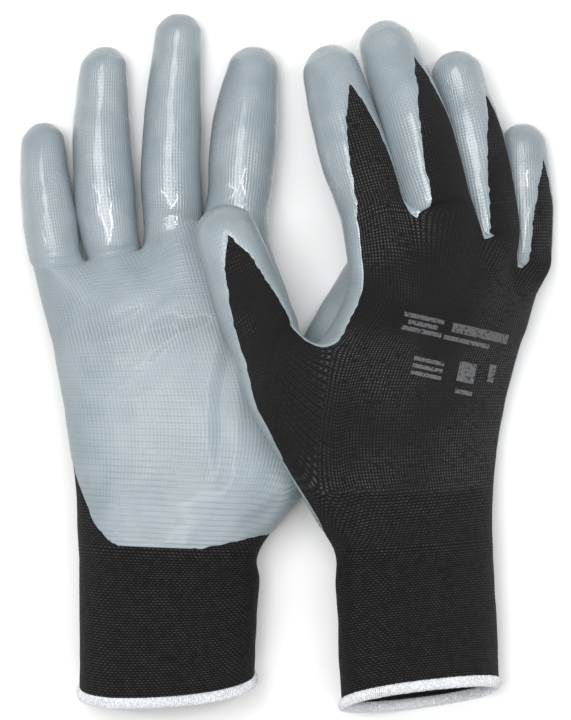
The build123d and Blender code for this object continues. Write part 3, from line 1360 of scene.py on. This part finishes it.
    def inside_dip(self, point: Vector, around: float, grid: tuple) -> float:
        """How far inside the dipped area a point of the smooth shell is, with the edge's raggedness."""
        column, row, layer = grid
        share = max(-1.0, min(1.0, (column - COLUMNS / 2) / (COLUMNS / 2)))
        rise = self.dip.low * abs(share) ** 5 if share < 0 else self.dip.high * share**2
        rise += self.dip.side * (1 - abs(layer - 1)) * (share < 0)
        wrist = (self.rows[0].little_side[1] + self.rows[0].thumb_side[1]) / 2
        on_palm = column <= COLUMNS and row < PALM_ROWS
        far = 0.5
        lowest = point.y - (wrist + rise) * MM if on_palm else far
        spot = point / MM + Vector((self.seed * 7, 0, 0))
        ragged = sum(noise.noise(spot * waves) * height for waves, height in RAGGEDNESS)
        corner = self.dip.corner * MM
        both = -corner * np.logaddexp(-around / corner, -lowest / corner)
        return float(both) + (self.dip.margin + ragged) * MM

    # ------------------------------------------------------------ cutting into pieces

    def cut(self, shell: bpy.types.Object, coat: bpy.types.Object) -> list[bpy.types.Object]:
        """Cuts shell and coating into one piece for each part, and gives each its wall."""
        pieces = []
        for part in Part:
            label = part.name.lower()
            kind = "rib" if part is Part.CUFF else "fabric"
            piece = self.piece_of(shell, part, f"{self.name}_{label}_{kind}", WALL)
            node = {Part.PALM: "palm_knit", Part.CUFF: "ribbed_cuff"}.get(part, f"{label}_stall")
            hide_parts(f"{self.name}_{node}")
            self.move_with(piece, part)
            pieces.append(piece)
            if part is Part.CUFF:
                continue
            skin = self.piece_of(coat, part, f"{self.name}_{label}_dip", COAT_WALL)
            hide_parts(f"{self.name}_{label}_coating")
            self.move_with(skin, part)
            pieces.append(skin)
        return pieces

    def piece_of(self, whole: bpy.types.Object, part: Part, name: str, wall: float) -> bpy.types.Object:
        """Copies one part of a whole shell as its own closed piece.

        Args:
            whole: the shell or coating.
            part: the part.
            name: the piece's name.
            wall: its thickness, which grows inwards.

        Returns:
            The piece.
        """

        def spot(vertex: bpy.types.MeshVertex) -> tuple:
            return tuple(round(c, 7) for c in vertex.co)

        normals = {spot(vertex): vertex.normal.copy() for vertex in whole.data.vertices}
        piece = copied(whole, name)
        with opened(piece.data) as cells:
            others = [face for face in cells.faces if face.material_index != part.value]
            bmesh.ops.delete(cells, geom=others, context="FACES")
            for face in cells.faces:
                face.material_index = 0
        apply_modifier(piece, "SOLIDIFY", thickness=wall, offset=-1.0, use_even_offset=False, use_rim=True)
        mesh = piece.data
        for polygon in mesh.polygons:
            polygon.use_smooth = True
        kept = [normals.get(spot(vertex), vertex.normal) for vertex in mesh.vertices]
        mesh.normals_split_custom_set_from_vertices(kept)
        return piece

    def move_with(self, piece: bpy.types.Object, part: Part) -> None:
        """Ties the palm's piece to the palm; any other piece only has its placement baked into its mesh."""
        palm = f"{self.name}_palm"
        if part is Part.PALM:
            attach(piece, palm)
        elif part is Part.CUFF:
            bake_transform(piece)
        else:
            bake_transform(piece)

    # ------------------------------------------------------------ hem

    @staticmethod
    def open_edge(shell: bpy.types.Object) -> list[Vector]:
        """The open edge of the cuff, as a ring of points in order."""
        cells = bmesh.new()
        cells.from_mesh(shell.data)
        edges = [edge for edge in cells.edges if edge.is_boundary]
        start = edges[0]
        vertex = start.verts[0]
        ring, edge = [], start
        while True:
            ring.append(vertex.co.copy())
            vertex = edge.other_vert(vertex)
            edge = next(e for e in vertex.link_edges if e.is_boundary and e is not edge)
            if edge is start:
                break
        cells.free()
        return ring

    def hem_pieces(self, ring: list[Vector]) -> list[bpy.types.Object]:
        """The overlocked hem: a folded edge, and the thread that is wound round it."""
        middle = sum(ring, Vector()) / len(ring)
        outward = middle - joint_place(f"{self.name}_cuff")
        hem = Hem(ring, middle, Vector((outward.x, outward.y, 0)).normalized(), self.seed)
        core = tube(f"{self.name}_hem_core", hem.fold())
        wound = tube(f"{self.name}_hem_thread", hem.winding())
        for piece in (core, wound):
            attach(piece, f"{self.name}_cuff")
        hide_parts(f"{self.name}_cuff_edging")
        return [core, wound]


# ---------------------------------------------------------------- the two gloves


THUMB_TILTS = (13.0, 6.5, 3.0, 1.2, 0.4)  # millimetres, from the thumb's first ring on


def lower_glove() -> Glove:
    """The glove that lies palm up, under the other."""
    rows = (
        Row((-76.4, -66.0), (-10.8, -68.5), 19.2, 37.0, 0.0),
        Row((-78.0, -44.0), (4.0, -48.5), 18.4, 35.0, 0.0),
        Row((-80.6, -20.0), (11.0, -22.0), 17.6, 33.5, 0.0),
        Row((-84.6, 2.0), (4.5, 4.0), 17.0, 32.5, 0.0),
        Row((-86.9, 11.0), (1.6, 14.5), 16.6, 31.5, 0.0),
        Row((-89.6, 21.5), (-2.6, 28.0), 16.2, 30.0, 0.0),
    )
    digits = {
        Part.LITTLE: DigitForm(1.02, 0.86, 0.08, bow=-1.2),
        Part.RING: DigitForm(1.02, 0.86, 0.12, bow=-2.4),
        Part.MIDDLE: DigitForm(1.02, 0.80, 0.05, bow=-1.4),
        Part.INDEX: DigitForm(1.06, 0.88, 0.14, bow=-0.8),
        Part.THUMB: DigitForm(tip_fullness=0.86, start=-15.0, first=8.0, tilts=THUMB_TILTS),
    }
    return Glove(
        name="lower",
        palm_up=True,
        mirrored=False,
        rows=rows,
        hem=Row((-76.1, -118.8), (-12.6, -114.2), 18.9, 35.0, 0.0, -5.0),
        digits=digits,
        crotches=((-72.8, 35.5), (-52.9, 40.2), (-31.5, 50.0)),
        knuckle_edges=((-92.6, 33.5), (-7.6, 47.0)),
        creases=(
            Crease((-80, 6), (-34, 27), 0.55, 2.6, 1),
            Crease((-72, -14), (-26, 12), 0.4, 3.0, 1),
            Crease((-14, 30), (-30, -46), 0.7, 3.2, 1),
            Crease((-55, 44), (-31, 51), 0.5, 1.6, 1),
            Crease((-75, 38), (-52, 41), 0.5, 1.6, 1),
            Crease((-92, 36), (-72, 36), 0.5, 1.6, 1),
            Crease((-30, 54), (-9, 52), 0.4, 1.8, 1),
            Crease((-76, -50), (-58, -60), 0.45, 1.8, 1),
            Crease((-20, -60), (-2, -52), 0.5, 2.0, 1),
        ),
        seed=3.1,
    )


def upper_glove() -> Glove:
    """The glove that lies palm down, over the other."""
    rows = (
        Row((73.5, -64.0), (16.8, -67.5), 22.9, 37.0, 26.0),
        Row((74.4, -42.0), (4.5, -47.0), 25.0, 35.0, 28.0),
        Row((77.0, -20.0), (2.0, -20.0), 27.5, 34.0, 29.0),
        Row((82.4, 2.0), (9.6, 4.2), 29.0, 33.0, 30.0),
        Row((85.6, 11.0), (18.0, 16.0), 29.5, 32.0, 30.0),
        Row((88.4, 20.0), (22.4, 29.5), 30.0, 31.0, 31.0),
    )
    digits = {
        Part.LITTLE: DigitForm(1.04, 0.92, 0.12, roll=52.0, tip_dipped=14.0, start=-3.0),
        Part.RING: DigitForm(1.04, 0.92, 0.16, bow=-1.6, roll=55.0, start=-1.0),
        Part.MIDDLE: DigitForm(1.04, 0.90, 0.20, bow=-1.4, roll=45.0, start=1.5),
        Part.INDEX: DigitForm(1.03, 0.92, 0.12, bow=0.6, roll=29.0, start=0.5),
        Part.THUMB: DigitForm(
            tip_fullness=0.86, roll=3.0, tip_dipped=12.0, start=-15.0, first=8.0, tilts=THUMB_TILTS
        ),
    }
    return Glove(
        name="upper",
        palm_up=False,
        mirrored=True,
        rows=rows,
        hem=Row((76.2, -118.0), (19.6, -121.5), 21.8, 34.0, 24.0, 4.5),
        digits=digits,
        crotches=((82.6, 35.0), (70.3, 44.9), (44.2, 54.0)),
        knuckle_edges=((90.0, 31.0), (20.6, 48.0)),
        creases=(
            Crease((-4, -6), (14, -24), 0.8, 3.2, 1),
            Crease((8, 2), (24, -12), 0.6, 2.4, 1),
            Crease((8, -40), (26, -52), 0.5, 2.2, 1),
            Crease((66, -38), (76, -50), 0.5, 2.4, 1),
            Crease((44, 52), (50, 30), 0.5, 2.2, 1),
            Crease((70, 44), (72, 26), 0.5, 2.0, 1),
            Crease((83, 35), (84, 20), 0.4, 2.0, 1),
            Crease((30, 40), (52, 22), 0.35, 3.4, 1),
        ),
        seed=7.7,
        dip=DipEdge(thumb_side=-6.0),
    )


# ---------------------------------------------------------------- studio


@dataclass(frozen=True)
class Studio:
    """A white table seen from straight above, under soft lights."""

    middle: tuple = (-1.27 * MM, 0.36 * MM)
    height: float = 1.6
    field_high: float = 260.9 * MM
    sensor: float = 36.0

    def build(self) -> None:
        """Adds the floor, the lights, the sky and the camera."""
        floor = self.floor()
        lights = [
            self.light("key", (-0.35, 0.40, 1.75), (0.9, 0.9), 15.0),
            self.light("strip", (0.08, 0.05, 1.95), (0.08, 1.4), 13.0),
            self.light("side_strip", (-0.55, 0.10, 1.5), (0.06, 1.3), 4.0),
            self.light("fill", (0.75, -0.30, 1.2), (0.6, 0.9), 3.0),
        ]
        world = bpy.data.worlds.new("sky")
        bpy.context.scene.world = world
        world.use_nodes = True
        back = next(node for node in world.node_tree.nodes if node.type == "BACKGROUND")
        back.inputs["Color"].default_value = (1.0, 1.0, 1.0, 1.0)
        back.inputs["Strength"].default_value = 0.38
        self.camera()

    def floor(self) -> bpy.types.Object:
        """A wide, plain, nearly white table top."""
        deselect_all()
        bpy.ops.mesh.primitive_plane_add(size=6.0, location=(0, 0, 0))
        floor = bpy.context.active_object
        floor.name = "table"
        shader = Shader("table")
        tone = shader.cloud(shader.place(), 3.0).ramp(0.2, 0.8)
        colour = shader.blend(tone, grey(0.93), grey(0.96))
        floor.data.materials.append(shader.finish({"Base Color": colour, "Roughness": 0.9}))
        return floor

    @staticmethod
    def light(name: str, place: tuple, size: tuple, power: float) -> bpy.types.Object:
        """Adds one soft panel that looks at the gloves.

        Args:
            name: its name.
            place: where it stands, in metres.
            size: its width and length.
            power: its power in watts.

        Returns:
            The light.
        """
        data = bpy.data.lights.new(name, "AREA")
        data.shape = "RECTANGLE"
        data.size, data.size_y = size
        data.energy = power
        light = bpy.data.objects.new(name, data)
        bpy.context.collection.objects.link(light)
        light.location = place
        light.rotation_euler = (-Vector(place)).to_track_quat("-Z", "Y").to_euler()
        return light

    def camera(self) -> None:
        """Looks straight down at the middle of the pair."""
        data = bpy.data.cameras.new("camera")
        data.sensor_width = self.sensor
        centre_height = 25 * MM
        data.lens = self.sensor * (self.height - centre_height) / self.field_high
        data.clip_end = 20.0
        camera = bpy.data.objects.new("camera", data)
        bpy.context.collection.objects.link(camera)
        camera.location = (*self.middle, self.height)
        bpy.context.scene.camera = camera


def finish_pieces(glove: Glove, pieces: list[bpy.types.Object], finishes: dict) -> None:
    """Gives each piece of a glove the material that the last word of its name stands for."""
    for piece in pieces:
        kind = piece.name.split("_")[-1]
        if kind == "fabric" and "palm" in piece.name and not glove.palm_up:
            kind = "back"
        piece.data.materials.clear()
        piece.data.materials.append(finishes[kind])


def main() -> None:
    """Builds both gloves and the studio, and logs how many faces each piece has."""
    logging.basicConfig(level=logging.INFO, format="%(name)s: %(message)s")
    bpy.context.scene.view_settings.view_transform = "Standard"
    finishes = {
        "fabric": KnitFinish().make("black_knit"),
        "back": KnitFinish().make("black_knit_back", BackMarks()),
        "dip": DipFinish().make("grey_dip"),
        "rib": RibFinish().make("black_rib"),
        "core": ThreadFinish().make("hem_fold", 500.0),
        "thread": ThreadFinish().make("hem_thread", 1500.0),
    }
    for glove in (lower_glove(), upper_glove()):
        pieces = glove.build()
        finish_pieces(glove, pieces, finishes)
        for piece in pieces:
            LOG.info("%s: %d faces", piece.name, len(piece.data.polygons))
    Studio().build()


if __name__ == "__main__":
    main()
